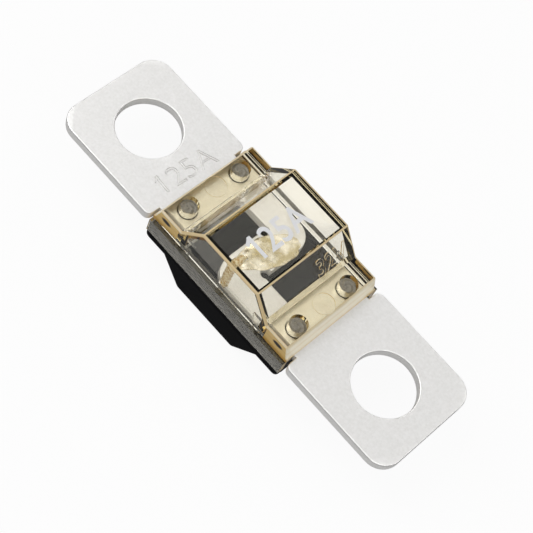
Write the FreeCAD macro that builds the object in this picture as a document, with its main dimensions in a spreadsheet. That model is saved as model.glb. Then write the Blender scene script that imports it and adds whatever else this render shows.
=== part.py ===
import FreeCAD, Part
import os

import Sketcher

# Bolt down strip fuse: a stamped strip with two bolt tabs and an S-shaped fuse link, held between
# a black moulded base and a clear moulded cover. The posts of the base go through the strip and
# are staked in the cover.
# Millimetres. The origin lies midway between the bolt holes, on the underside of the tabs.
# X runs along the strip, Y across it and Z up, to the clear side.

sizes = {
    # stamped strip
    "sheetThickness": 1.0,
    "boltSpacing": 30.0,
    "boltHole": 6.0,
    "tabWidth": 11.4,
    "tabEnd": 5.5,
    "tabCorner": 1.9,
    "shoulderGap": 0.25,
    "shoulderCorner": 0.6,
    "neckInset": 1.3,
    # fuse link between the two windows of the strip
    "linkWidth": 3.3,
    "linkLeg": 2.75,
    "linkBend": 1.9,
    "windowCorner": 0.35,
    "notchHole": 0.95,
    "notchInset": 0.15,
    "tinWidth": 2.0,
    "tinLength": 5.2,
    "tinHeight": 0.45,
    "tinCorner": 0.8,
    "tinRound": 0.3,
    # posts of the base, through the strip and the cover
    "postFromEnd": 1.55,
    "postFromSide": 1.4,
    "postWidth": 1.5,
    "postSink": 0.6,
    "headEdge": 0.2,
    "postClearance": 0.1,
    # housing, common sizes
    "bodyLength": 16.7,
    "bodyProud": 0.05,
    "endWall": 3.75,
    "seatClearance": 0.05,
    "sideClearance": 0.1,
    # clear cover
    "ledgeWidth": 0.4,
    "flangeThickness": 1.7,
    "flangeLength": 3.0,
    "flangeDraft": 0.5,
    "blockHeight": 2.65,
    "slopeRun": 2.05,
    "coverWall": 0.65,
    "skirtWall": 0.6,
    "skirtDepth": 1.9,
    "ledgeDepth": 0.2,
    "coverEdge": 0.2,
    "markWidth": 2.0,
    "markDepth": 0.12,
    "pegFromEnd": 0.5,
    "pegWidth": 0.9,
    "pegLength": 1.5,
    "pegDepth": 0.2,
    "flowRibWidth": 0.7,
    "flowRibDepth": 0.3,
    "flowRibReach": 1.2,
    # black base
    "baseThickness": 1.9,
    "baseFlangeLength": 2.45,
    "lipHeight": 0.5,
    "bellyDepth": 2.5,
    "bellyRun": 2.35,
    "baseWall": 0.75,
    "baseCorner": 0.5,
    "baseEdge": 0.3,
}

# Heights above the tabs' underside
stripTop = "Size.sheetThickness"
flangeTop = f"({stripTop} + Size.flangeThickness)"
blockTop = f"({flangeTop} + Size.blockHeight)"
ceiling = f"({blockTop} - Size.coverWall)"
skirtFoot = f"({stripTop} - Size.skirtDepth)"
ledgeTop = f"({stripTop} - Size.ledgeDepth)"
stepTop = f"({skirtFoot} - Size.seatClearance)"
wallFoot = "(Size.lipHeight + Size.seatClearance)"
bellyTop = "(-Size.baseThickness)"
bellyBottom = f"({bellyTop} - Size.bellyDepth)"
cavityFloor = f"({bellyBottom} + Size.baseWall)"

# Distances from the middle along X
boltAlong = "(Size.boltSpacing / 2)"
stripEnd = f"({boltAlong} + Size.tabEnd)"
bodyEnd = "(Size.bodyLength / 2)"
shoulder = f"({bodyEnd} + Size.shoulderGap)"
flangeEdge = f"({bodyEnd} - Size.flangeDraft)"
blockFoot = f"({bodyEnd} - Size.flangeLength)"
blockCrown = f"({blockFoot} - Size.slopeRun)"
bellyFoot = f"({bodyEnd} - Size.baseFlangeLength)"
bellyFloor = f"({bellyFoot} - Size.bellyRun)"
windowEnd = f"({bodyEnd} - Size.endWall)"
linkSide = "(Size.linkWidth / 2)"
postAlong = f"({bodyEnd} - Size.postFromEnd)"
pegAlong = f"({windowEnd} - Size.pegFromEnd)"

# Distances from the middle along Y
tabSide = "(Size.tabWidth / 2)"
neckSide = f"({tabSide} - Size.neckInset)"
legInside = f"({neckSide} - Size.linkLeg)"
lipInside = f"({neckSide} + Size.sideClearance)"
cavitySide = f"({neckSide} - Size.sideClearance)"
bodySide = f"({tabSide} + Size.bodyProud)"
skirtInside = f"({bodySide} - Size.skirtWall)"
lipOutside = f"({skirtInside} - Size.seatClearance)"
coverSide = f"({bodySide} - Size.ledgeWidth)"
wallInside = f"({coverSide} - Size.coverWall)"
postAcross = f"({neckSide} - Size.postFromSide)"
postHole = "Size.postWidth + 2 * Size.postClearance"

document = FreeCAD.newDocument("StripFuse")
sheet = document.addObject("Spreadsheet::Sheet", "Size")
for row, (alias, size) in enumerate(sizes.items(), start=1):
    sheet.set(f"A{row}", alias)
    sheet.set(f"B{row}", str(size))
    sheet.setAlias(f"B{row}", alias)
document.recompute()


def negative(formula):
    return f"-({formula})"


def sizeOf(formula):
    return float(sheet.evalExpression(formula))


def addBody(label):
    body = document.addObject("PartDesign::Body", label)
    body.Label = label
    return body


def planeOf(body, role):
    return next(plane for plane in body.Origin.OriginFeatures if plane.Role == role)


def addSketch(body, name, role, shift=None):
    sketch = body.newObject("Sketcher::SketchObject", name)
    sketch.AttachmentSupport = (planeOf(body, role), [""])
    sketch.MapMode = "FlatFace"
    if shift:
        sketch.setExpression("AttachmentOffset.Base.z", shift)
    return sketch


def pinPoint(sketch, curve, end, across, up):
    """Ties one point of a curve to its two distances from the sketch's origin."""
    for kind, formula in (("DistanceX", across), ("DistanceY", up)):
        rule = Sketcher.Constraint(kind, -1, 1, curve, end, sizeOf(formula))
        index = sketch.addConstraint(rule)
        sketch.setExpression(f"Constraints[{index}]", formula)


def addOutline(sketch, corners):
    """Closed outline of straight lines through corners given as formulas."""
    spots = [FreeCAD.Vector(sizeOf(across), sizeOf(up), 0) for across, up in corners]
    ends = spots[1:] + spots[:1]
    lines = [sketch.addGeometry(Part.LineSegment(a, b), False) for a, b in zip(spots, ends)]
    for line, following in zip(lines, lines[1:] + lines[:1]):
        sketch.addConstraint(Sketcher.Constraint("Coincident", line, 2, following, 1))
    for line, (across, up) in zip(lines, corners):
        pinPoint(sketch, line, 1, across, up)


def mirrorAcross(corners):
    """A half outline on the right, and its mirror image on the left."""
    return corners + [(negative(across), up) for across, up in reversed(corners)]


def addRound(sketch, across, up, width):
    centre = FreeCAD.Vector(sizeOf(across), sizeOf(up), 0)
    circle = sketch.addGeometry(Part.Circle(centre, FreeCAD.Vector(0, 0, 1), sizeOf(width) / 2), False)
    pinPoint(sketch, circle, 3, across, up)
    index = sketch.addConstraint(Sketcher.Constraint("Diameter", circle, sizeOf(width)))
    sketch.setExpression(f"Constraints[{index}]", width)


def addRoundsAtCorners(sketch, along, across, width):
    for x in (along, negative(along)):
        for y in (across, negative(across)):
            addRound(sketch, x, y, width)


def addPad(body, sketch, length, both=False):
    pad = body.newObject("PartDesign::Pad", f"{sketch.Name}Pad")
    pad.Profile = sketch
    pad.setExpression("Length", length)
    pad.SideType = "Symmetric" if both else "One side"
    document.recompute()
    return pad


def addPocket(body, sketch, length, both=False, back=False):
    """A cut, which has to take material away from the body."""
    before = body.Shape.Volume
    pocket = body.newObject("PartDesign::Pocket", f"{sketch.Name}Pocket")
    pocket.Profile = sketch
    pocket.setExpression("Length", length)
    pocket.SideType = "Symmetric" if both else "One side"
    pocket.Reversed = back
    document.recompute()
    if body.Shape.Volume >= before:
        raise RuntimeError(f"{pocket.Name} takes nothing away")
    return pocket


def addFillet(body, name, radius, chosen):
    """Rounds the edges of the body for which chosen(edge) holds."""
    base = body.Tip
    names = [f"Edge{i}" for i, edge in enumerate(base.Shape.Edges, start=1) if chosen(edge)]
    fillet = body.newObject("PartDesign::Fillet", name)
    fillet.Base = (base, names)
    fillet.setExpression("Radius", radius)
    document.recompute()
    return fillet


def near(one, other):
    return abs(one - other) < 1e-4


def uprightAt(along, across):
    """Upright edges at the four places (along, across), mirrored both ways."""
    x, y = sizeOf(along), sizeOf(across)

    def chosen(edge):
        ends = [vertex.Point for vertex in edge.Vertexes]
        if len(ends) != 2 or near(ends[0].z, ends[1].z):
            return False
        return all(near(abs(p.x), x) and near(abs(p.y), y) for p in ends)

    return chosen


def crosswiseAt(places):
    """Edges along Y at the places (along, up), mirrored left and right."""
    spots = [(sizeOf(along), sizeOf(up)) for along, up in places]

    def chosen(edge):
        ends = [vertex.Point for vertex in edge.Vertexes]
        if len(ends) != 2 or near(ends[0].y, ends[1].y):
            return False
        return any(all(near(abs(p.x), x) and near(p.z, z) for p in ends) for x, z in spots)

    return chosen


def makeFuseStrip():
    body = addBody("fuse_strip")
    outline = addSketch(body, "StripOutline", "XY_Plane")
    quarter = [(stripEnd, tabSide), (shoulder, tabSide), (shoulder, neckSide)]
    rightSide = [(x, negative(y)) for x, y in reversed(quarter)] + quarter
    addOutline(outline, mirrorAcross(rightSide))
    addPad(body, outline, "Size.sheetThickness")
    addFillet(body, "TabCorners", "Size.tabCorner", uprightAt(stripEnd, tabSide))
    addFillet(body, "Shoulders", "Size.shoulderCorner", uprightAt(shoulder, tabSide))

    # The two windows are open at opposite edges of the neck. What stays between them is the link:
    # a leg from each tab, and the bridge that joins the legs.
    windows = addSketch(body, "Windows", "XY_Plane")
    for side in ("", "-"):
        corners = [(linkSide, negative(legInside)), (windowEnd, negative(legInside)),
                   (windowEnd, tabSide), (linkSide, tabSide)]
        addOutline(windows, [(f"{side}({x})", f"{side}({y})") for x, y in corners])
    addPocket(body, windows, "Size.sheetThickness", back=True)
    addFillet(body, "LinkBends", "Size.linkBend", uprightAt(linkSide, neckSide))
    addFillet(body, "WindowCorners", "Size.windowCorner", uprightAt(windowEnd, legInside))

    notches = addSketch(body, "Notches", "XY_Plane")
    notchAlong = f"{linkSide} - Size.notchInset"
    notchAcross = f"{legInside} - Size.notchHole / 2 + Size.notchInset"
    addRound(notches, notchAlong, negative(notchAcross), "Size.notchHole")
    addRound(notches, negative(notchAlong), notchAcross, "Size.notchHole")
    addPocket(body, notches, "Size.sheetThickness", back=True)

    holes = addSketch(body, "StripHoles", "XY_Plane")
    for x in (boltAlong, negative(boltAlong)):
        addRound(holes, x, "0", "Size.boltHole")
    addRoundsAtCorners(holes, postAlong, postAcross, postHole)
    addPocket(body, holes, "Size.sheetThickness", back=True)
    return body


def makeTinDrop():
    """The tin froze in a long flat pool on the bridge of the link."""
    body = addBody("tin_drop")
    pool = addSketch(body, "PoolOutline", "XY_Plane")
    addOutline(pool, mirrorAcross([("Size.tinWidth / 2", "-Size.tinLength / 2"),
                                   ("Size.tinWidth / 2", "Size.tinLength / 2")]))
    addPad(body, pool, "Size.tinHeight")
    addFillet(body, "PoolCorners", "Size.tinCorner", uprightAt("Size.tinWidth / 2", "Size.tinLength / 2"))
    height = sizeOf("Size.tinHeight")

    def upperRim(edge):
        return all(near(vertex.Point.z, height) for vertex in edge.Vertexes)

    addFillet(body, "PoolRound", "Size.tinRound", upperRim)
    body.setExpression("Placement.Base.z", stripTop)
    return body


def slopeInside(crown, run, rise, wall):
    """Where the inside of a sloped end wall meets the inside of the crown, from the middle."""
    return f"({crown} - {wall} * hypot({run}; {rise}) / {rise} + {wall} * {run} / {rise})"


def slopeKnee(crown, run, rise, wall, end):
    """Depth from the outside of the crown at which the sloped inside reaches the chamber's end."""
    return f"(({end} - {crown} + {wall} * hypot({run}; {rise}) / {rise}) * {rise} / {run})"


def makeClearCover():
    body = addBody("clear_cover")
    profile = addSketch(body, "CoverProfile", "XZ_Plane")
    addOutline(profile, mirrorAcross([(bodyEnd, stripTop), (flangeEdge, flangeTop),
                                      (blockFoot, flangeTop), (blockCrown, blockTop)]))
    addPad(body, profile, f"2 * {coverSide}", both=True)

    side, bottom = sizeOf(coverSide), sizeOf(stripTop)
    crossEdges = crosswiseAt([(flangeEdge, flangeTop), (blockCrown, blockTop)])

    def outerEdge(edge):
        ends = [vertex.Point for vertex in edge.Vertexes]
        onSide = all(near(abs(p.y), side) for p in ends) and near(ends[0].y, ends[1].y)
        return crossEdges(edge) or (onSide and max(p.z for p in ends) > bottom + 0.1)

    addFillet(body, "CoverEdges", "Size.coverEdge", outerEdge)

    # Side walls go down beside the strip, and each carries a skirt that laps over the base.
    skirts = addSketch(body, "Skirts", "YZ_Plane")
    for side in ("", "-"):
        corners = [(wallInside, stripTop), (wallInside, wallFoot), (skirtInside, wallFoot),
                   (skirtInside, skirtFoot), (bodySide, skirtFoot), (bodySide, ledgeTop),
                   (coverSide, ledgeTop), (coverSide, f"{stripTop} + Size.coverEdge")]
        innerTop = (wallInside, f"{stripTop} + Size.coverEdge")
        addOutline(skirts, [(f"{side}({y})", z) for y, z in corners + [innerTop]])
    addPad(body, skirts, "Size.bodyLength", both=True)

    slope = (blockCrown, "Size.slopeRun", "Size.blockHeight", "Size.coverWall")
    knee = slopeKnee(*slope, windowEnd)
    under = slopeInside(*slope)
    chamber = addSketch(body, "Chamber", "XZ_Plane")
    addOutline(chamber, mirrorAcross([(windowEnd, "0"), (windowEnd, f"{blockTop} - {knee}"),
                                      (under, ceiling)]))
    addPocket(body, chamber, f"2 * {wallInside}", both=True)

    holes = addSketch(body, "CoverPostHoles", "XY_Plane")
    addRoundsAtCorners(holes, postAlong, postAcross, postHole)
    addPocket(body, holes, blockTop, back=True)

    marks = addSketch(body, "EjectorMarks", "XY_Plane", flangeTop)
    for x in (postAlong, negative(postAlong)):
        addRound(marks, x, "0", "Size.markWidth")
    addPocket(body, marks, "Size.markDepth")

    # Four tapered pegs stand on the inside of the long walls, points down.
    pegs = addSketch(body, "Pegs", "XZ_Plane", f"{wallInside} - Size.pegDepth")
    pegFoot = f"{wallFoot} + Size.seatClearance"
    pegTop = f"({pegFoot} + Size.pegLength)"
    for side in ("", "-"):
        corners = [(f"{side}({pegAlong} + Size.pegWidth / 2)", pegTop),
                   (f"{side}({pegAlong} - Size.pegWidth / 2)", pegTop),
                   (f"{side}({pegAlong})", pegFoot)]
        addOutline(pegs, corners)
    pegPad = addPad(body, pegs, "Size.pegDepth + Size.coverWall / 2")
    farPegs = body.newObject("PartDesign::Mirrored", "FarPegs")
    farPegs.Originals = [pegPad]
    farPegs.MirrorPlane = (planeOf(body, "XZ_Plane"), [""])
    body.Tip = farPegs
    document.recompute()

    # The flow rib climbs one long wall and turns in along the ceiling.
    rib = addSketch(body, "FlowRib", "YZ_Plane")
    ribFace = f"({wallInside} - Size.flowRibDepth)"
    ribSoffit = f"({ceiling} - Size.flowRibDepth)"
    ribEnd = f"({wallInside} - Size.flowRibReach)"
    inWall = f"({wallInside} + Size.coverWall / 2)"
    inCrown = f"({ceiling} + Size.coverWall / 2)"
    corners = [(inWall, wallFoot + " + Size.coverWall"), (ribFace, wallFoot + " + Size.coverWall"),
               (ribFace, ribSoffit), (ribEnd, ribSoffit), (ribEnd, inCrown), (inWall, inCrown)]
    addOutline(rib, [(negative(y), z) for y, z in corners])
    addPad(body, rib, "Size.flowRibWidth", both=True)
    return body


def makeBaseHousing():
    body = addBody("base_housing")
    profile = addSketch(body, "BaseProfile", "XZ_Plane")
    addOutline(profile, mirrorAcross([(bodyEnd, stepTop), (bodyEnd, bellyTop),
                                      (bellyFoot, bellyTop), (bellyFloor, bellyBottom)]))
    addPad(body, profile, f"2 * {bodySide}", both=True)
    addFillet(body, "BaseCorners", "Size.baseCorner",
              crosswiseAt([(bodyEnd, bellyTop), (bellyFloor, bellyBottom)]))
    side, top = sizeOf(bodySide), sizeOf(stepTop)

    def lowerRim(edge):
        points = [edge.valueAt(edge.FirstParameter), edge.valueAt(edge.LastParameter)]
        onSide = all(near(abs(p.y), side) for p in points) and near(points[0].y, points[1].y)
        return onSide and min(p.z for p in points) < top - 0.1

    addFillet(body, "BaseEdges", "Size.baseEdge", lowerRim)

    # The step goes up inside the cover's skirts, and its two lips hold the strip from the sides.
    step = addSketch(body, "Step", "YZ_Plane")
    addOutline(step, mirrorAcross([(lipOutside, f"{stepTop} - Size.baseWall"),
                                   (lipOutside, "Size.lipHeight"),
                                   (lipInside, "Size.lipHeight"), (lipInside, "0")]))
    addPad(body, step, "Size.bodyLength", both=True)

    slope = (bellyFloor, "Size.bellyRun", "Size.bellyDepth", "Size.baseWall")
    knee = slopeKnee(*slope, windowEnd)
    under = slopeInside(*slope)
    cavity = addSketch(body, "Cavity", "XZ_Plane")
    addOutline(cavity, mirrorAcross([(windowEnd, "Size.lipHeight"),
                                     (windowEnd, f"{bellyBottom} + {knee}"), (under, cavityFloor)]))
    addPocket(body, cavity, f"2 * {cavitySide}", both=True)

    posts = addSketch(body, "Posts", "XY_Plane", f"{bellyTop} / 2")
    addRoundsAtCorners(posts, postAlong, postAcross, "Size.postWidth")
    addPad(body, posts, f"Size.baseThickness / 2 + {flangeTop} - Size.postSink")
    headTop = sizeOf(f"{flangeTop} - Size.postSink")

    def headRim(edge):
        return all(near(vertex.Point.z, headTop) for vertex in edge.Vertexes)

    addFillet(body, "PostHeads", "Size.headEdge", headRim)
    return body


pieces = [makeFuseStrip(), makeTinDrop(), makeBaseHousing(), makeClearCover()]
document.recompute()

failed = [item.Name for item in document.Objects if {"Invalid", "Error"} & set(item.State)]
if failed:
    raise RuntimeError(f"not built: {failed}")
for piece in pieces:
    if piece.Shape.isNull() or not piece.Shape.isValid() or len(piece.Shape.Solids) != 1:
        raise RuntimeError(f"{piece.Label} is not one sound solid")

os.makedirs("parts", exist_ok=True)
for piece in pieces:
    piece.Shape.exportStep(f"parts/{piece.Label}.step")
    print(piece.Label, round(piece.Shape.Volume, 2), piece.Shape.BoundBox)
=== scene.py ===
import math

import bmesh
import bpy
from mathutils import Matrix, Vector, noise


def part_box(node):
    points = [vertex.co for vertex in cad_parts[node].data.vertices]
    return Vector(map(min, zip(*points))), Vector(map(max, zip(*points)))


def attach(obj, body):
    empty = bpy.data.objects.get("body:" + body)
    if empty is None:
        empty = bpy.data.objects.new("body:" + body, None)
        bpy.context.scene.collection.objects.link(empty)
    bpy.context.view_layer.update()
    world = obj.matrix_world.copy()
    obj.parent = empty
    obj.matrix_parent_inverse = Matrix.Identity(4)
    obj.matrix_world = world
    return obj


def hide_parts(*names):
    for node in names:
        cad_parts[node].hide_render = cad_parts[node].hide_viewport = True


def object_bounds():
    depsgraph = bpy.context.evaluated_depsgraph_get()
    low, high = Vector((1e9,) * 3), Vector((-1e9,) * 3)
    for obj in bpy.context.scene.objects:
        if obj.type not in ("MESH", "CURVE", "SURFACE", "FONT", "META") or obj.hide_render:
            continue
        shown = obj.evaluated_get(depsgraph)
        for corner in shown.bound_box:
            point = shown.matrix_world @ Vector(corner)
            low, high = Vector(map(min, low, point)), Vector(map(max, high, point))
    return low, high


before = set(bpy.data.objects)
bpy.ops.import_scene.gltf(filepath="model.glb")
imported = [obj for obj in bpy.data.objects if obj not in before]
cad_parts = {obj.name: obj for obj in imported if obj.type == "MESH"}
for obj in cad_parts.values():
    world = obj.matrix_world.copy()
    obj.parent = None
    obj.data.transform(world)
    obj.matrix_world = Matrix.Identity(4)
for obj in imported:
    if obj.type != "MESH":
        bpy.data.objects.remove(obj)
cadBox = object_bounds()

# Bolt down strip fuse. Everything below is in metres, in the same frame as the CAD.
mm = 0.001
touching = 0.001 * mm  # a point this near a plane lies in it
hairline = 0.002 * mm  # points this near each other are one
alongAxis = 0.99  # a unit normal with more of an axis than this points along it
leaning = 0.5  # and with less than this, it is over 60 degrees away from it
lumpy = 60  # degrees between faces, up to which a lumpy piece is shaded smooth

# a Mix node's inputs and its colour output share their names, so they go by number
numberA, numberB, colourA, colourB, colourOut = 2, 3, 6, 7, 2


def linearColour(code):
    # sRGB hex to the linear values that shaders take
    parts = [int(code[i:i + 2], 16) / 255 for i in (1, 3, 5)]
    return [c / 12.92 if c <= 0.04045 else ((c + 0.055) / 1.055) ** 2.4 for c in parts] + [1.0]


def addNode(tree, kind, settings=None, **links):
    # A setting is an input, by name or number, or else belongs to the node itself. An input takes
    # a plain value or another node's output.
    node = tree.nodes.new(kind)
    for name, value in (settings or {}).items():
        if isinstance(value, bpy.types.NodeSocket):
            tree.links.new(value, node.inputs[name])
        elif isinstance(name, int) or name in node.inputs:
            node.inputs[name].default_value = value
        else:
            setattr(node, name, value)
    for name, source in links.items():
        tree.links.new(source, node.inputs[name.replace("_", " ")])
    return node


def startMaterial(name):
    # an empty material, its nodes, and the place on the piece that its patterns read
    material = bpy.data.materials.new(name)
    material.use_nodes = True
    tree = material.node_tree
    tree.nodes.clear()
    return material, tree, addNode(tree, "ShaderNodeTexCoord").outputs["Object"]


def addSurface(tree, shader, **links):
    # a colour or roughness in shader is about the average of the pattern that is linked to it
    surface = addNode(tree, "ShaderNodeBsdfPrincipled", shader, **links)
    addNode(tree, "ShaderNodeOutputMaterial", Surface=surface.outputs[0])


def perMetre(sizeInMm):
    # noise scale that gives spots of about this size
    return 1 / (sizeInMm * mm)


def platedStrip(name, metallic):
    # Tin plated zinc alloy, tumbled after stamping: a pale satin grey with a fine even grain. Its
    # sheared edges scatter light more than they mirror it, so a matt surface stands for them.
    # The grain is about 0.05 mm, drawn at 0.12 mm so that it shows.
    material, tree, place = startMaterial(name)
    grain = addNode(tree, "ShaderNodeTexNoise", {"Scale": perMetre(0.12), "Detail": 2.0},
                    Vector=place)
    mottle = addNode(tree, "ShaderNodeTexNoise", {"Scale": perMetre(0.22), "Detail": 3.0},
                     Vector=place)
    spread = addNode(tree, "ShaderNodeMapRange", {"To Min": 0.38, "To Max": 0.56},
                     Value=grain.outputs["Fac"])
    tint = addNode(tree, "ShaderNodeMix", {
        "data_type": "RGBA", colourA: linearColour("#e6e5e2"), colourB: linearColour("#fbfaf9")},
        Factor=mottle.outputs["Fac"])
    bump = addNode(tree, "ShaderNodeBump", {"Strength": 0.5, "Distance": 0.01 * mm},
                   Height=grain.outputs["Fac"])
    addSurface(tree, {"Base Color": linearColour("#f0efec"), "Metallic": metallic,
                      "Roughness": 0.45},
               Base_Color=tint.outputs[colourOut], Roughness=spread.outputs[0],
               Normal=bump.outputs[0])
    return material


def frozenTin():
    # Tin that froze in a pool: bright on its lumps, dull and slightly yellow with flux between them
    material, tree, place = startMaterial("frozen_tin")
    dimples = addNode(tree, "ShaderNodeTexNoise", {"Scale": perMetre(0.45), "Detail": 4.0},
                      Vector=place)
    bump = addNode(tree, "ShaderNodeBump", {"Strength": 0.4, "Distance": 0.05 * mm},
                   Height=dimples.outputs["Fac"])
    film = addNode(tree, "ShaderNodeMapRange", {"To Min": 0.15, "To Max": 0.4},
                   Value=dimples.outputs["Fac"])
    patches = addNode(tree, "ShaderNodeTexNoise", {"Scale": perMetre(1.1), "Detail": 3.0},
                      Vector=place)
    tint = addNode(tree, "ShaderNodeValToRGB", Fac=patches.outputs["Fac"])
    for stop, at, colour in zip(tint.color_ramp.elements, (0.38, 0.6), ("#c6b993", "#f8f2e2")):
        stop.position, stop.color = at, linearColour(colour)
    addSurface(tree, {"Base Color": linearColour("#e0d6bd"), "Metallic": 1.0, "Roughness": 0.22},
               Base_Color=tint.outputs["Color"], Roughness=film.outputs[0],
               Normal=bump.outputs[0])
    return material


def blackNylon():
    # Black glass filled nylon as moulded: near black, dull, with a faint spark-eroded texture.
    # The texture is about 0.03 mm, drawn at 0.1 mm so that it shows.
    material, tree, place = startMaterial("black_nylon_moulded")
    sparks = addNode(tree, "ShaderNodeTexNoise", {"Scale": perMetre(0.1), "Detail": 3.0},
                     Vector=place)
    flow = addNode(tree, "ShaderNodeTexNoise", {"Scale": perMetre(4.0), "Detail": 2.0},
                   Vector=place)
    tint = addNode(tree, "ShaderNodeMix", {
        "data_type": "RGBA", colourA: linearColour("#0b0b0c"), colourB: linearColour("#151517")},
        Factor=flow.outputs["Fac"])
    dull = addNode(tree, "ShaderNodeMapRange", {"To Min": 0.42, "To Max": 0.62},
                   Value=sparks.outputs["Fac"])
    bump = addNode(tree, "ShaderNodeBump", {"Strength": 0.15, "Distance": 0.012 * mm},
                   Height=sparks.outputs["Fac"])
    addSurface(tree, {"Base Color": linearColour("#121213"), "Roughness": 0.5, "IOR": 1.53,
                      "Specular IOR Level": 0.05},
               Base_Color=tint.outputs[colourOut], Roughness=dull.outputs[0],
               Normal=bump.outputs[0])
    return material


def stakedNylon():
    # The same nylon where a hot tool has spun and flattened it: grey-brown, rough and smeared,
    # with pale swirled streaks of painted highlight
    material, tree, place = startMaterial("black_nylon_heat_staked")
    smear = addNode(tree, "ShaderNodeTexNoise",
                    {"Scale": perMetre(0.3), "Detail": 4.0, "Distortion": 2.5}, Vector=place)
    # painted highlight: the pale end of the swirled tint stands for light catching the swirl
    tint = addNode(tree, "ShaderNodeMix", {
        "data_type": "RGBA", colourA: linearColour("#4b4740"), colourB: linearColour("#d2cbb9")},
        Factor=smear.outputs["Fac"])
    bump = addNode(tree, "ShaderNodeBump", {"Strength": 0.5, "Distance": 0.05 * mm},
                   Height=smear.outputs["Fac"])
    addSurface(tree, {"Base Color": linearColour("#57504a"), "Roughness": 0.55, "IOR": 1.53},
               Base_Color=tint.outputs[colourOut], Normal=bump.outputs[0])
    return material


def clearPolysulfone():
    # Clear polysulfone, which is naturally pale amber: cream through one wall and gold wherever
    # the eye looks along a wall. The colour comes from the depth of plastic and not its skin.
    material, tree, place = startMaterial("clear_amber_polysulfone")
    depth = addNode(tree, "ShaderNodeVolumeAbsorption", {
        "Color": (0.985, 0.84, 0.36, 1.0), "Density": 185.0})
    ripple = addNode(tree, "ShaderNodeTexNoise", {"Scale": perMetre(3.0), "Detail": 1.0},
                     Vector=place)
    bump = addNode(tree, "ShaderNodeBump", {"Strength": 0.06, "Distance": 0.05 * mm},
                   Height=ripple.outputs["Fac"])
    surface = addNode(tree, "ShaderNodeBsdfPrincipled", {
        "Base Color": linearColour("#ffffff"), "Roughness": 0.02, "IOR": 1.6,
        "Specular IOR Level": 0.4, "Transmission Weight": 1.0}, Normal=bump.outputs[0])
    # lamps light what is inside, as they do behind real clear plastic
    lit = addNode(tree, "ShaderNodeBsdfTransparent", {"Color": (0.93, 0.93, 0.93, 1.0)})
    rays = addNode(tree, "ShaderNodeLightPath")
    mix = addNode(tree, "ShaderNodeMixShader", {
        0: rays.outputs["Is Shadow Ray"], 1: surface.outputs[0], 2: lit.outputs[0]})
    addNode(tree, "ShaderNodeOutputMaterial", Surface=mix.outputs[0], Volume=depth.outputs[0])
    return material


def frostedPolysulfone():
    # The same plastic where the melt fronts met and froze: rough, whitish gold, full of bubbles
    material, tree, place = startMaterial("frosted_amber_polysulfone")
    bubbles = addNode(tree, "ShaderNodeTexNoise", {"Scale": perMetre(0.22), "Detail": 3.0},
                      Vector=place)
    tint = addNode(tree, "ShaderNodeValToRGB", Fac=bubbles.outputs["Fac"])
    for stop, at, colour in zip(tint.color_ramp.elements, (0.38, 0.62), ("#cba766", "#fff6da")):
        stop.position, stop.color = at, linearColour(colour)
    bump = addNode(tree, "ShaderNodeBump", {"Strength": 0.6, "Distance": 0.06 * mm},
                   Height=bubbles.outputs["Fac"])
    addSurface(tree, {"Base Color": linearColour("#dcc58c"), "Roughness": 0.35, "IOR": 1.6},
               Base_Color=tint.outputs["Color"], Normal=bump.outputs[0])
    return material


def paintedGlowPolysulfone(name, dark, light, post=None):
    # Painted glow on the same plastic: where the light that runs along its walls comes out, as at
    # its roundings and ends, the faces are painted an opaque gold to cream. A black post close
    # behind is painted on as a dark oval of painted shade.
    wall = (1.0 * mm, 2.75 * mm)  # lowest and highest point
    drift = 0.12 * mm
    # height in the wall and lightness there: painted shade, as soft darker bands at its edges and
    # middle
    paintedShadeBands = ((0.0, 0.2), (0.2, 0.9), (0.42, 1.0), (0.52, 0.75), (0.64, 1.0), (0.84, 1.0),
             (1.0, 0.35))
    material, tree, place = startMaterial(name)
    waves = addNode(tree, "ShaderNodeTexNoise", {"Scale": perMetre(3.0), "Detail": 1.0},
                    Vector=place)
    shift = addNode(tree, "ShaderNodeMapRange", {"To Min": -drift, "To Max": drift},
                    Value=waves.outputs["Fac"])
    height = addNode(tree, "ShaderNodeSeparateXYZ", Vector=place)
    level = addNode(tree, "ShaderNodeMath", {
        "operation": "ADD", 0: height.outputs["Z"], 1: shift.outputs[0]})
    upWall = addNode(tree, "ShaderNodeMapRange", {"From Min": wall[0], "From Max": wall[1]},
                     Value=level.outputs[0])
    tint = addNode(tree, "ShaderNodeValToRGB", Fac=upWall.outputs[0])
    for at, share in paintedShadeBands:
        stops = tint.color_ramp.elements
        stop = stops.new(at) if 0 < at < 1 else stops[-1 if at else 0]
        stop.color = [low + share * (high - low)
                      for low, high in zip(linearColour(dark), linearColour(light))]
    colour = tint.outputs["Color"]
    # painted shade: a dark oval is painted where a black post stands close behind
    if post:
        mirrored = addNode(tree, "ShaderNodeVectorMath", {"operation": "ABSOLUTE", 0: place})
        offset = addNode(tree, "ShaderNodeVectorMath", {
            "operation": "SUBTRACT", 0: mirrored.outputs[0], 1: post["at"]})
        share = addNode(tree, "ShaderNodeVectorMath", {
            "operation": "DIVIDE", 0: offset.outputs[0], 1: post["reach"]})
        away = addNode(tree, "ShaderNodeVectorMath", {"operation": "LENGTH", 0: share.outputs[0]})
        clear = addNode(tree, "ShaderNodeMapRange", {
            "From Min": post["edge"][0], "From Max": post["edge"][1],
            "interpolation_type": "SMOOTHSTEP"}, Value=away.outputs["Value"])
        behind = addNode(tree, "ShaderNodeMix", {
            "data_type": "RGBA", colourA: linearColour(post["tint"]), colourB: colour},
            Factor=clear.outputs[0])
        colour = behind.outputs[colourOut]
    addSurface(tree, {"Base Color": linearColour(light), "Roughness": 0.1, "IOR": 1.6},
               Base_Color=colour)
    return material


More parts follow.
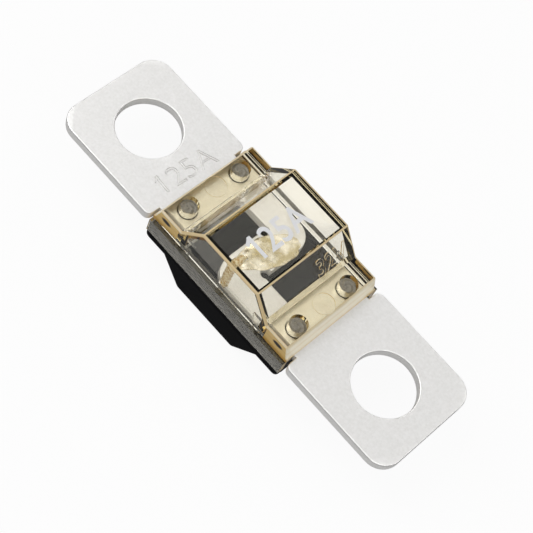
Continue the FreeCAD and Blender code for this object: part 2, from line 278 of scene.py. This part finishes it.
def padPrintInk():
    # White pad printing ink: flat, slightly bluish, a little thin in places
    material, tree, place = startMaterial("white_pad_ink")
    thin = addNode(tree, "ShaderNodeTexNoise", {"Scale": perMetre(0.3), "Detail": 3.0},
                   Vector=place)
    tint = addNode(tree, "ShaderNodeMix", {
        "data_type": "RGBA", colourA: linearColour("#fafbff"), colourB: linearColour("#ffffff")},
        Factor=thin.outputs["Fac"])
    addSurface(tree, {"Base Color": linearColour("#f1f2fb"), "Roughness": 0.55},
               Base_Color=tint.outputs[colourOut])
    return material


# where a black post stands close behind a flange's side, a dark oval of painted shade
paintedPostOval = {"at": (6.95 * mm, 5.35 * mm, 1.95 * mm), "reach": (0.55 * mm, 1.0 * mm, 0.26 * mm),
              "edge": (0.75, 1.2), "tint": "#2a2219"}
materials = {
    "strip": platedStrip("plated_zinc_satin", 1.0),
    "sheared": platedStrip("plated_zinc_sheared", 0.0),
    "tin": frozenTin(),
    "base": blackNylon(),
    "staked": stakedNylon(),
    "cover": clearPolysulfone(),
    "frosted": frostedPolysulfone(),
    # painted glow: opaque gold to cream in place of clear plastic where light comes out of its
    # walls
    "edge": paintedGlowPolysulfone("painted_glow_edge_polysulfone", "#e2bf78", "#fbf1d6"),
    "flank": paintedGlowPolysulfone("painted_glow_flank_polysulfone", "#c1903e", "#e9c780", paintedPostOval),
    "ink": padPrintInk(),
}
print("materials made")


def evenShading(piece):
    # large flat faces keep their own direction beside small roundings
    weights = piece.modifiers.new("shading", "WEIGHTED_NORMAL")
    weights.keep_sharp = True
    weights.weight = 100  # the largest face decides


def placeInScene(name, form, material, smoothAngle=30):
    mesh = bpy.data.meshes.new(name)
    form.to_mesh(mesh)
    form.free()
    piece = bpy.data.objects.new(name, mesh)
    bpy.context.scene.collection.objects.link(piece)
    mesh.materials.append(material)
    mesh.shade_smooth()
    mesh.set_sharp_from_angle(angle=math.radians(smoothAngle))
    return piece


def mouldingFrom(node, name, material):
    # a copy of a CAD node with its seams closed
    form = bmesh.new()
    form.from_mesh(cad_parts[node].data)
    bmesh.ops.remove_doubles(form, verts=form.verts, dist=touching / 2)
    piece = placeInScene(name, form, material)
    piece.data.attributes.remove(piece.data.attributes["custom_normal"])
    return piece


def mergeFlat(form):
    # faces within a degree of each other become one
    bmesh.ops.dissolve_limit(form, angle_limit=math.radians(1), verts=form.verts,
                             edges=form.edges)


def roundSheet(piece, edge, steps=4, smoothAngle=40):
    # rolls the outline and the holes over on both faces of a flat sheet, as its die does
    shortest = 0.8 * edge  # shorter sides would cross as the rim is drawn in
    form = bmesh.new()
    form.from_mesh(piece.data)
    bmesh.ops.remove_doubles(form, verts=form.verts, dist=shortest)
    mergeFlat(form)
    for side in (-1, 1):
        flat = [face for face in form.faces if face.normal.z * side > alongAxis]
        rim = {vert for face in flat for vert in face.verts}
        bmesh.ops.translate(form, vec=(0, 0, -side * edge), verts=list(rim))
        for step in range(steps):
            low, high = (math.pi / 2 * share / steps for share in (step, step + 1))
            bmesh.ops.inset_region(form, faces=flat, use_boundary=True, use_even_offset=True,
                                   thickness=edge * (math.cos(low) - math.cos(high)),
                                   depth=edge * (math.sin(high) - math.sin(low)))
    bmesh.ops.triangulate(form, faces=[face for face in form.faces if len(face.verts) > 4])
    form.to_mesh(piece.data)
    form.free()
    piece.data.shade_smooth()
    piece.data.set_sharp_from_angle(angle=math.radians(smoothAngle))
    return piece


def lettering(words, letters, thickness, place):
    # closed letters of a given full width and height, middle of the text at the origin
    curve = bpy.data.curves.new(words, "FONT")
    curve.body = words
    curve.size = 1.0
    curve.extrude = curve.size / 2
    curve.resolution_u = 6
    curve.offset = letters.get("bold", 0.0)
    drawn = bpy.data.objects.new(words, curve)
    bpy.context.scene.collection.objects.link(drawn)
    bpy.context.view_layer.update()
    low, high = ([pick(corner[axis] for corner in drawn.bound_box) for axis in (0, 1)]
                 for pick in (min, max))
    scale = [letters["width"] / (high[0] - low[0]), letters["height"] / (high[1] - low[1])]
    shown = drawn.evaluated_get(bpy.context.evaluated_depsgraph_get())
    mesh = bpy.data.meshes.new_from_object(shown)
    bpy.data.objects.remove(drawn)
    form = bmesh.new()
    form.from_mesh(mesh)
    bmesh.ops.remove_doubles(form, verts=form.verts, dist=0.0005 * curve.size)
    bmesh.ops.translate(form, vec=(-(low[0] + high[0]) / 2, -(low[1] + high[1]) / 2, 0),
                        verts=form.verts)
    bmesh.ops.scale(form, vec=(*scale, thickness), verts=form.verts)
    bmesh.ops.recalc_face_normals(form, faces=form.faces)
    if "flag" in letters:
        form = withFlag(form, letters, thickness)
    if "rim" in letters:
        form = rimOf(form, letters["rim"], thickness)
    bmesh.ops.transform(form, matrix=place, verts=form.verts)
    return form


def withFlag(form, letters, thickness):
    # gives the 1 a long flag
    tip, top = (Vector((*end, 0)) for end in letters["flag"])
    slant = Matrix.Rotation(math.atan2((top - tip).y, (top - tip).x), 4, "Z")
    flag = bmesh.new()
    bmesh.ops.create_cube(flag, size=1)
    bmesh.ops.scale(flag, vec=((top - tip).length, letters["stroke"], thickness),
                    verts=flag.verts)
    bmesh.ops.transform(flag, matrix=Matrix.Translation((tip + top) / 2) @ slant,
                        verts=flag.verts)
    word = join(placeInScene("word", form, materials["ink"]), flag, "UNION")
    form = bmesh.new()
    form.from_mesh(word.data)
    bpy.data.objects.remove(word)
    return form


def rimOf(form, width, thickness):
    # leaves only a band of the letters, just inside their outline
    shortest = 0.6 * width  # shorter sides would cross as the band is drawn in
    rest = [face for face in form.faces if face.normal.z < alongAxis]
    bmesh.ops.delete(form, geom=rest, context="FACES")
    mergeFlat(form)
    bmesh.ops.remove_doubles(form, verts=form.verts, dist=shortest)
    band = bmesh.ops.inset_region(form, faces=form.faces[:], thickness=width, use_boundary=True,
                                  use_even_offset=True)["faces"]
    bmesh.ops.delete(form, geom=[face for face in form.faces if face not in band],
                     context="FACES")
    grown = bmesh.ops.extrude_face_region(form, geom=form.faces[:])
    lower = [item for item in grown["geom"] if isinstance(item, bmesh.types.BMVert)]
    bmesh.ops.translate(form, vec=(0, 0, -thickness), verts=lower)
    bmesh.ops.recalc_face_normals(form, faces=form.faces)
    return form


def join(piece, form, operation, smoothAngle=30):
    # cuts or adds a closed form, and merges the slivers that this leaves
    tool = placeInScene("tool", form, piece.data.materials[0])
    for material in piece.data.materials[1:]:
        tool.data.materials.append(material)
    modifier = piece.modifiers.new("join", "BOOLEAN")
    modifier.operation = operation
    modifier.solver = "EXACT"
    modifier.object = tool
    bpy.context.view_layer.update()
    finished = piece.evaluated_get(bpy.context.evaluated_depsgraph_get())
    mesh = bpy.data.meshes.new_from_object(finished)
    piece.modifiers.clear()
    piece.data = mesh
    bpy.data.objects.remove(tool)
    joined = bmesh.new()
    joined.from_mesh(mesh)
    bmesh.ops.remove_doubles(joined, verts=joined.verts, dist=hairline)
    joined.to_mesh(mesh)
    joined.free()
    mesh.set_sharp_from_angle(angle=math.radians(smoothAngle))
    return piece


def facing(across, up, out, at):
    # local X, Y and Z directions of flat work, and its origin
    turn = Matrix((Vector(across), Vector(up), Vector(out))).transposed().to_4x4()
    return Matrix.Translation(Vector(at)) @ turn


strip = {
    "edge": 0.125 * mm, "depth": 0.12 * mm, "stampAt": (-10.05 * mm, 0.03 * mm),
    "stampLean": 0.05,
    "stamp": {"width": 5.85 * mm, "height": 1.9 * mm, "rim": 0.085 * mm, "stroke": 0.26 * mm,
              "flag": ((-3.2 * mm, 0.4 * mm), (-2.66 * mm, 0.82 * mm))},
}
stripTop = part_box("fuse_strip")[1].z
stampedStrip = roundSheet(mouldingFrom("fuse_strip", "stamped_strip", materials["strip"]),
                          strip["edge"])
# the stamped letters are outlines
stampAt = facing((strip["stampLean"], 1, 0), (-1, strip["stampLean"], 0), (0, 0, 1),
                 (*strip["stampAt"], stripTop))
join(stampedStrip, lettering("125A", strip["stamp"], 2 * strip["depth"], stampAt), "DIFFERENCE")
stampedStrip.data.materials.append(materials["sheared"])
for face in stampedStrip.data.polygons:
    face.material_index = int(strip["edge"] < face.center.z < stripTop - strip["edge"])
evenShading(stampedStrip)
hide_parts("fuse_strip")
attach(stampedStrip, "root")
print("strip made")

# Swells are shares, scales and seeds of noise that make the drop lumpy. Its ripples are lower near
# its edge and on its far half, and have finer ones on them.
drop = {
    "reach": (1.5 * mm, 3.0 * mm, 0.34 * mm), "middle": (0.2 * mm, 0.2 * mm), "lean": 0.22,
    "lumps": 0.13, "swells": ((1.0, 1.3, (3.1, 0.4, 1.7)), (0.5, 3.1, (0.2, 5.1, 2.2))),
    "ripple": 0.2 * mm, "rippleSize": 1.0 * mm, "rippleSeed": (7.3, 1.9, 4.4), "atEdge": 1.6,
    "calmest": 0.3, "roughFrom": 0.3, "finer": (0.4, 2.3), "subdivisions": 6,
}
dropForm = bmesh.new()
bmesh.ops.create_icosphere(dropForm, subdivisions=drop["subdivisions"], radius=1.0)
for vert in dropForm.verts:
    swell = sum(share * noise.noise(vert.co * scale + Vector(seed))
                for share, scale, seed in drop["swells"])
    vert.co *= 1 + drop["lumps"] * swell
bmesh.ops.scale(dropForm, vec=drop["reach"], verts=dropForm.verts)
for vert in dropForm.verts:
    vert.co.x += drop["lean"] * vert.co.y
    if vert.co.z > 0:
        spot = vert.co / drop["rippleSize"] + Vector(drop["rippleSeed"])
        inside = min(1, vert.co.z / drop["reach"][2] * drop["atEdge"])
        near = min(1, max(0, drop["roughFrom"] - vert.co.y / drop["reach"][1]))
        rough = drop["calmest"] + (1 - drop["calmest"]) * near
        share, scale = drop["finer"]
        vert.co.z += drop["ripple"] * inside * rough * (noise.noise(spot)
                                                        + share * noise.noise(spot * scale))
bmesh.ops.translate(dropForm, vec=(*drop["middle"], stripTop), verts=dropForm.verts)
bmesh.ops.recalc_face_normals(dropForm, faces=dropForm.faces)
tinBlob = placeInScene("tin_blob", dropForm, materials["tin"], lumpy)
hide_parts("tin_drop")
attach(tinBlob, "root")
print("tin made")

blackBase = mouldingFrom("base_housing", "black_base", materials["base"])
evenShading(blackBase)
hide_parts("base_housing")
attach(blackBase, "root")

# Each head is a disc whose top is drawn in ring by ring, and swirled as the hot tool left it.
# Arms and twist shape the swirl, and grain is the scale of its roughness. The signs of x and y
# make the four heads differ.
heads = {
    "along": 6.8 * mm, "across": 3.0 * mm, "radius": 0.82 * mm, "top": 2.1 * mm,
    "rise": 0.16 * mm, "rim": 0.2, "sink": 0.3 * mm, "rings": 9, "inmost": 1.5, "sides": 40,
    "swirl": 0.08 * mm, "arms": 2, "twist": 11, "grain": 2600,
}
headForm = bmesh.new()
for x in (-1, 1):
    for y in (-1, 1):
        lower = bmesh.ops.create_circle(headForm, cap_ends=True, segments=heads["sides"],
                                        radius=heads["radius"])["verts"]
        grown = bmesh.ops.extrude_face_region(headForm, geom=[lower[0].link_faces[0]])["geom"]
        upper = [item for item in grown if isinstance(item, bmesh.types.BMVert)]
        inner = [item for item in grown if isinstance(item, bmesh.types.BMFace)][0]
        bmesh.ops.translate(headForm, vec=(0, 0, -heads["sink"]), verts=lower)
        bmesh.ops.translate(headForm, vec=(0, 0, heads["rise"] * heads["rim"]), verts=upper)
        made = set(lower + upper)
        for ring in range(heads["rings"]):
            bmesh.ops.inset_individual(
                headForm, faces=[inner], depth=0,
                thickness=heads["radius"] / (heads["rings"] + heads["inmost"]))
            made.update(inner.verts)
            for vert in inner.verts:
                turn = math.atan2(vert.co.y, vert.co.x)
                reach = vert.co.to_2d().length / heads["radius"]
                wave = math.sin(heads["arms"] * turn + heads["twist"] * reach + x + 2 * y)
                spot = Vector((vert.co.x, vert.co.y, x + 3 * y)) * heads["grain"]
                vert.co.z = heads["rise"] * (1 - reach ** 2) + wave * heads["swirl"] \
                    + noise.noise(spot) * heads["swirl"]
        made.update(bmesh.ops.poke(headForm, faces=[inner])["verts"])
        bmesh.ops.translate(headForm, verts=list(made),
                            vec=(x * heads["along"], y * heads["across"], heads["top"]))
bmesh.ops.recalc_face_normals(headForm, faces=headForm.faces)
stakedHeads = placeInScene("staked_heads", headForm, materials["staked"], lumpy)
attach(stakedHeads, "root")
print("base made")

# Rounding is the widest flat strip that counts as a rounded edge, onePlane is the degrees between
# faces that count as flat, and clearOfPost is in post radii. Faces beyond ends are the cover's
# ends, and upright ones beyond flankFrom and flankAt are the sides of its flanges.
cover = {
    "finishesAndPaintedGlow": ("cover", "frosted", "edge", "flank"), "airGap": 0.012 * mm,
    "rounding": 0.12 * mm, "onePlane": 0.5, "clearOfPost": 1.2, "ends": 7.85 * mm,
    "flankFrom": 5.5 * mm, "flankAt": 5.3 * mm, "flankUpright": 0.95,
    "slant": 0.45 * mm, "slantAt": (8.15 * mm, 2.7 * mm), "slantAcross": 13 * mm,
    "rating": {"width": 3.4 * mm, "height": 1.76 * mm, "bold": 0.01}, "rise": 0.12 * mm,
    "slopeTop": (3.3 * mm, 5.35 * mm), "slopeFoot": (5.35 * mm, 2.7 * mm),
    "ratingDown": 0.55, "ratingAcross": 2.7 * mm,
}


def flatRegions(form):
    # groups of faces side by side in one plane, each with the length of its border
    done = set()
    for start in form.faces:
        if start in done:
            continue
        done.add(start)
        region, waiting, border = [start], [start], 0.0
        while waiting:
            face = waiting.pop()
            for edge in face.edges:
                for other in edge.link_faces:
                    if other.normal.angle(face.normal, 0) > math.radians(cover["onePlane"]):
                        border += edge.calc_length()
                    elif other not in done:
                        done.add(other)
                        region.append(other)
                        waiting.append(other)
        yield region, border


def paintGlowOnWalls(piece):
    # gives the rounded edges, the ends and the flanges' sides their painted glow of opaque gold
    form = bmesh.new()
    form.from_mesh(piece.data)
    for side in (-1, 1):
        bmesh.ops.bisect_plane(form, geom=form.verts[:] + form.edges[:] + form.faces[:],
                               plane_co=(side * cover["flankFrom"], 0, 0), plane_no=(1, 0, 0))
    for region, border in flatRegions(form):
        middle = region[0].calc_center_median()
        fromPost = math.hypot(abs(middle.x) - heads["along"], abs(middle.y) - heads["across"])
        narrow = sum(face.calc_area() for face in region) < border * cover["rounding"] / 2
        outward = region[0].normal.x * math.copysign(1, middle.x) > leaning
        if (abs(middle.x) > cover["ends"] and outward) \
                or (narrow and fromPost > cover["clearOfPost"] * heads["radius"]):
            for face in region:
                face.material_index = cover["finishesAndPaintedGlow"].index("edge")
    for face in form.faces:
        middle = face.calc_center_median()
        atFlank = abs(middle.x) > cover["flankFrom"] and abs(middle.y) > cover["flankAt"]
        if atFlank and middle.z > stripTop and abs(face.normal.y) > cover["flankUpright"]:
            face.material_index = cover["finishesAndPaintedGlow"].index("flank")
    form.to_mesh(piece.data)
    form.free()


clearCover = mouldingFrom("clear_cover", "clear_cover_moulding", materials["cover"])
# slots for the frosted plastic and for the painted glow of edges and flanks
for finish in cover["finishesAndPaintedGlow"][1:]:
    clearCover.data.materials.append(materials[finish])
paintGlowOnWalls(clearCover)
# the ends fall away from the flanges
endEdges = bmesh.new()
for side in (-1, 1):
    block = bmesh.ops.create_cube(endEdges, size=1)["verts"]
    bmesh.ops.scale(endEdges, verts=block, vec=(
        math.sqrt(2) * cover["slant"], cover["slantAcross"], math.sqrt(2) * cover["slant"]))
    bmesh.ops.rotate(endEdges, matrix=Matrix.Rotation(math.pi / 4, 3, "Y"), verts=block)
    bmesh.ops.translate(endEdges, verts=block,
                        vec=(side * cover["slantAt"][0], 0, cover["slantAt"][1]))
# the slanted ends get the painted glow too
for face in endEdges.faces:
    face.material_index = cover["finishesAndPaintedGlow"].index("edge")
join(clearCover, endEdges, "DIFFERENCE")
# the rating stands up from the slope and its steep sides are matt
slopeTop, slopeFoot = (Vector((x, 0, z)) for x, z in (cover["slopeTop"], cover["slopeFoot"]))
upSlope = (slopeTop - slopeFoot).normalized()
acrossSlope = Vector((0, 1, 0))
outOfSlope = acrossSlope.cross(upSlope)
ratingAt = slopeTop.lerp(slopeFoot, cover["ratingDown"]) + acrossSlope * cover["ratingAcross"]
rating = lettering("32V", cover["rating"], 2 * cover["rise"],
                   facing(acrossSlope, upSlope, outOfSlope, ratingAt))
for face in rating.faces:
    steep = abs(face.normal.dot(outOfSlope)) < leaning
    face.material_index = cover["finishesAndPaintedGlow"].index("frosted" if steep else "cover")
join(clearCover, rating, "UNION")
# the cover lies on the strip with a film of air between them
for vert in clearCover.data.vertices:
    if abs(vert.co.z - stripTop) < touching:
        vert.co.z += cover["airGap"]
evenShading(clearCover)
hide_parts("clear_cover")
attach(clearCover, "root")
print("cover made")

# The flow rib climbs the near wall inside the cover and turns in under the crown. Swells are
# shares, scales, seeds and stretches of noise that make it lumpy, and blunt rounds its ends.
rib = {
    "foot": 1.15 * mm, "wall": -4.68 * mm, "ceiling": 4.68 * mm, "end": -3.6 * mm,
    "bend": 0.55 * mm, "middle": 0.05 * mm, "halfWidth": 0.37 * mm, "depth": 0.42 * mm,
    "steps": 56, "sides": 20, "blunt": 9,
    "lumps": 0.3, "swells": ((1.0, 1.1, (0, 0), 24), (0.6, 2.6, (5, 3), 60)),
}
ribForm = bmesh.new()
bmesh.ops.create_cone(ribForm, cap_ends=True, segments=rib["sides"], radius1=1, radius2=1, depth=1)
upright = [edge for edge in ribForm.edges
           if abs(edge.verts[0].co.z - edge.verts[1].co.z) > leaning * edge.calc_length()]
bmesh.ops.subdivide_edges(ribForm, edges=upright, cuts=rib["steps"], use_grid_fill=True)
climb = rib["ceiling"] - rib["bend"] - rib["foot"]
turnIn = rib["bend"] * math.pi / 2
alongCrown = rib["end"] - rib["wall"] - rib["bend"]
corner = Vector((0, rib["wall"] + rib["bend"], rib["foot"] + climb))
for vert in ribForm.verts:
    share = vert.co.z + 0.5  # of the way from the rib's foot to its end
    run = share * (climb + turnIn + alongCrown)
    taper = math.sqrt(max(0.0, 1 - abs(2 * share - 1) ** rib["blunt"]))
    bulge = 1 + rib["lumps"] * sum(
        part * noise.noise(vert.co * scale + Vector((*seed, share * stretch)))
        for part, scale, seed, stretch in rib["swells"])
    side = vert.co.x * taper * bulge * rib["halfWidth"]
    out = (0.5 + 0.5 * vert.co.y * bulge) * taper * rib["depth"]
    angle = min(max(run - climb, 0.0), turnIn) / rib["bend"]
    inward = Vector((0, math.cos(angle), -math.sin(angle)))
    path = corner - inward * rib["bend"]
    path += Vector((0, max(run - climb - turnIn, 0.0), min(run - climb, 0.0)))
    vert.co = path + inward * out + Vector((side + rib["middle"], 0, 0))
bmesh.ops.remove_doubles(ribForm, verts=ribForm.verts, dist=hairline)
bmesh.ops.recalc_face_normals(ribForm, faces=ribForm.faces)
flowRib = placeInScene("frosted_flow_rib", ribForm, materials["frosted"], lumpy)
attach(flowRib, "root")
print("flow rib made")

label = {
    "print": {"width": 5.75 * mm, "height": 2.4 * mm, "bold": 0.012, "stroke": 0.36 * mm,
              "flag": ((-3.3 * mm, 0.5 * mm), (-2.66 * mm, 1.05 * mm))},
    "film": 0.012 * mm, "sunk": 0.7, "at": (0.15 * mm, 0.27 * mm),
}
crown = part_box("clear_cover")[1].z
printPlace = facing((0, 1, 0), (-1, 0, 0), (0, 0, 1),
                    (*label["at"], crown - label["film"] / 2))
crownPrint = placeInScene(
    "crown_print", lettering("125A", label["print"], label["film"], printPlace), materials["ink"])
# the crown is lowered into the film of ink, which then stands a little above it
for vert in clearCover.data.vertices:
    if vert.co.z > crown - touching:
        vert.co.z -= label["film"] * label["sunk"]
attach(crownPrint, "root")
print("print made")


def paleFloor(seenWhite, seenShiny, glowing):
    # White paper sweep: the camera and clear or shiny surfaces see it white, with a soft shadow
    material, tree, _ = startMaterial("white_paper_floor")
    rays = addNode(tree, "ShaderNodeLightPath")
    # rays that pass through plastic count as glossy too
    reflected = addNode(tree, "ShaderNodeMath", {
        "operation": "SUBTRACT", "use_clamp": True,
        0: rays.outputs["Is Glossy Ray"], 1: rays.outputs["Is Transmission Ray"]})
    level = addNode(tree, "ShaderNodeMapRange", {"To Min": seenWhite, "To Max": seenShiny},
                    Value=reflected.outputs[0])
    glow = addNode(tree, "ShaderNodeEmission", Strength=level.outputs[0])
    seen = addNode(tree, "ShaderNodeMath", {
        "operation": "MAXIMUM",
        0: rays.outputs["Is Camera Ray"], 1: rays.outputs["Is Transmission Ray"]})
    through = addNode(tree, "ShaderNodeMath", {
        "operation": "MAXIMUM", 0: seen.outputs[0], 1: rays.outputs["Is Glossy Ray"]})
    share = addNode(tree, "ShaderNodeMath", {
        "operation": "MULTIPLY", 0: through.outputs[0], 1: glowing})
    paper = addNode(tree, "ShaderNodeBsdfPrincipled", {
        "Base Color": linearColour("#d8d8d8"), "Roughness": 0.8})
    mix = addNode(tree, "ShaderNodeMixShader", {
        0: share.outputs[0], 1: paper.outputs[0], 2: glow.outputs[0]})
    addNode(tree, "ShaderNodeOutputMaterial", Surface=mix.outputs[0])
    return material


sweep = {"halfSide": 1.5, "seenWhite": 1.05, "seenShiny": 0.22, "glowing": 0.88}
floorForm = bmesh.new()
bmesh.ops.create_grid(floorForm, x_segments=1, y_segments=1, size=sweep["halfSide"])
bmesh.ops.translate(floorForm, vec=(0, 0, cadBox[0].z), verts=floorForm.verts)
floor = placeInScene("floor", floorForm, paleFloor(
    sweep["seenWhite"], sweep["seenShiny"], sweep["glowing"]))

# The studio is a white tent. Shiny faces see its walls get darker towards the horizon, a bright
# ring part of the way up, and a grey flag that keeps glare off the crown. Clear plastic shows it
# white, as does the background.
studio = {"lit": 0.5, "background": 1.0, "horizon": 0.2, "overhead": 0.95, "overheadFrom": 0.9,
          "through": (0.75, 1.2), "ring": 3.0, "ringHeight": 0.46, "ringEdges": (0.03, 0.07),
          "flagAt": (-0.183, 0.454, 0.872), "flagEdges": (8, 15), "flag": 0.15}
world = bpy.data.worlds.new("studio")
bpy.context.scene.world = world
world.use_nodes = True
worldTree = world.node_tree
worldTree.nodes.clear()
rays = addNode(worldTree, "ShaderNodeLightPath")
direction = addNode(worldTree, "ShaderNodeTexCoord").outputs["Generated"]
height = addNode(worldTree, "ShaderNodeSeparateXYZ", Vector=direction).outputs["Z"]
walls = addNode(worldTree, "ShaderNodeMapRange", {
    "From Min": 0.0, "From Max": studio["overheadFrom"], "To Min": studio["horizon"],
    "To Max": studio["overhead"], "interpolation_type": "SMOOTHSTEP"}, Value=height)
toFlag = addNode(worldTree, "ShaderNodeVectorMath", {
    "operation": "DOT_PRODUCT", 0: direction, 1: studio["flagAt"]})
flagEdges = [math.cos(math.radians(edge)) for edge in studio["flagEdges"]]
beside = addNode(worldTree, "ShaderNodeMapRange", {
    "From Min": flagEdges[0], "From Max": flagEdges[1], "To Min": studio["flag"], "To Max": 1.0,
    "interpolation_type": "SMOOTHSTEP"}, Value=toFlag.outputs["Value"])
flagged = addNode(worldTree, "ShaderNodeMath", {
    "operation": "MULTIPLY", 0: walls.outputs[0], 1: beside.outputs[0]})
offRing = addNode(worldTree, "ShaderNodeMath", {
    "operation": "SUBTRACT", 0: height, 1: studio["ringHeight"]})
fromRing = addNode(worldTree, "ShaderNodeMath", {"operation": "ABSOLUTE", 0: offRing.outputs[0]})
ring = addNode(worldTree, "ShaderNodeMapRange", {
    "From Min": studio["ringEdges"][0], "From Max": studio["ringEdges"][1],
    "To Min": studio["ring"], "To Max": 0.0}, Value=fromRing.outputs[0])
reflected = addNode(worldTree, "ShaderNodeMath", {
    "operation": "ADD", 0: flagged.outputs[0], 1: ring.outputs[0]})
through = addNode(worldTree, "ShaderNodeMapRange", {
    "To Min": studio["through"][0], "To Max": studio["through"][1]}, Value=height)
level = studio["lit"]
for kind, strength in (("Is Camera Ray", studio["background"]),
                       ("Is Glossy Ray", reflected.outputs[0]),
                       ("Is Transmission Ray", through.outputs[0])):
    level = addNode(worldTree, "ShaderNodeMix", {
        "data_type": "FLOAT", numberA: level, numberB: strength},
        Factor=rays.outputs[kind]).outputs[0]
room = addNode(worldTree, "ShaderNodeBackground", {"Color": linearColour("#ffffff")},
               Strength=level)
addNode(worldTree, "ShaderNodeOutputWorld", Surface=room.outputs[0])

lamps = {
    "key": {"at": (-0.20, -0.06, 0.24), "size": 0.22, "power": 0.20},
    "fill": {"at": (0.20, -0.18, 0.20), "size": 0.25, "power": 0.10},
}
for name, lamp in lamps.items():
    light = bpy.data.lights.new(name, "AREA")
    light.shape = "SQUARE"
    light.size = lamp["size"]
    light.energy = lamp["power"]
    holder = bpy.data.objects.new(name, light)
    bpy.context.scene.collection.objects.link(holder)
    holder.location = lamp["at"]
    holder.rotation_euler = (-Vector(lamp["at"])).to_track_quat("-Z", "Y").to_euler()

# angles in degrees, and the focal length in the photograph's pixels
view = {"azimuth": 22.0, "elevation": 60.7, "roll": 27.98, "distance": 127.3 * mm, "focal": 1511,
        "target": (0.992 * mm, -0.732 * mm, 1.0 * mm), "pixels": 533, "sensor": 36,
        "clip": (0.005, 10)}
azimuth, elevation, roll = (math.radians(view[name]) for name in ("azimuth", "elevation", "roll"))
back = Vector((math.sin(azimuth) * math.cos(elevation), -math.cos(azimuth) * math.cos(elevation),
               math.sin(elevation)))
right = Vector((0, 0, 1)).cross(back).normalized()
above = back.cross(right)
turned = Matrix((right * math.cos(roll) + above * math.sin(roll),
                 above * math.cos(roll) - right * math.sin(roll), back)).transposed().to_4x4()
lens = bpy.data.cameras.new("camera")
lens.sensor_width = view["sensor"]
lens.lens = view["focal"] / view["pixels"] * view["sensor"]
lens.clip_start, lens.clip_end = view["clip"]
camera = bpy.data.objects.new("camera", lens)
bpy.context.scene.collection.objects.link(camera)
camera.matrix_world = Matrix.Translation(Vector(view["target"]) + back * view["distance"]) @ turned
bpy.context.scene.camera = camera
bpy.context.scene.view_settings.view_transform = "Standard"
print("stage set")
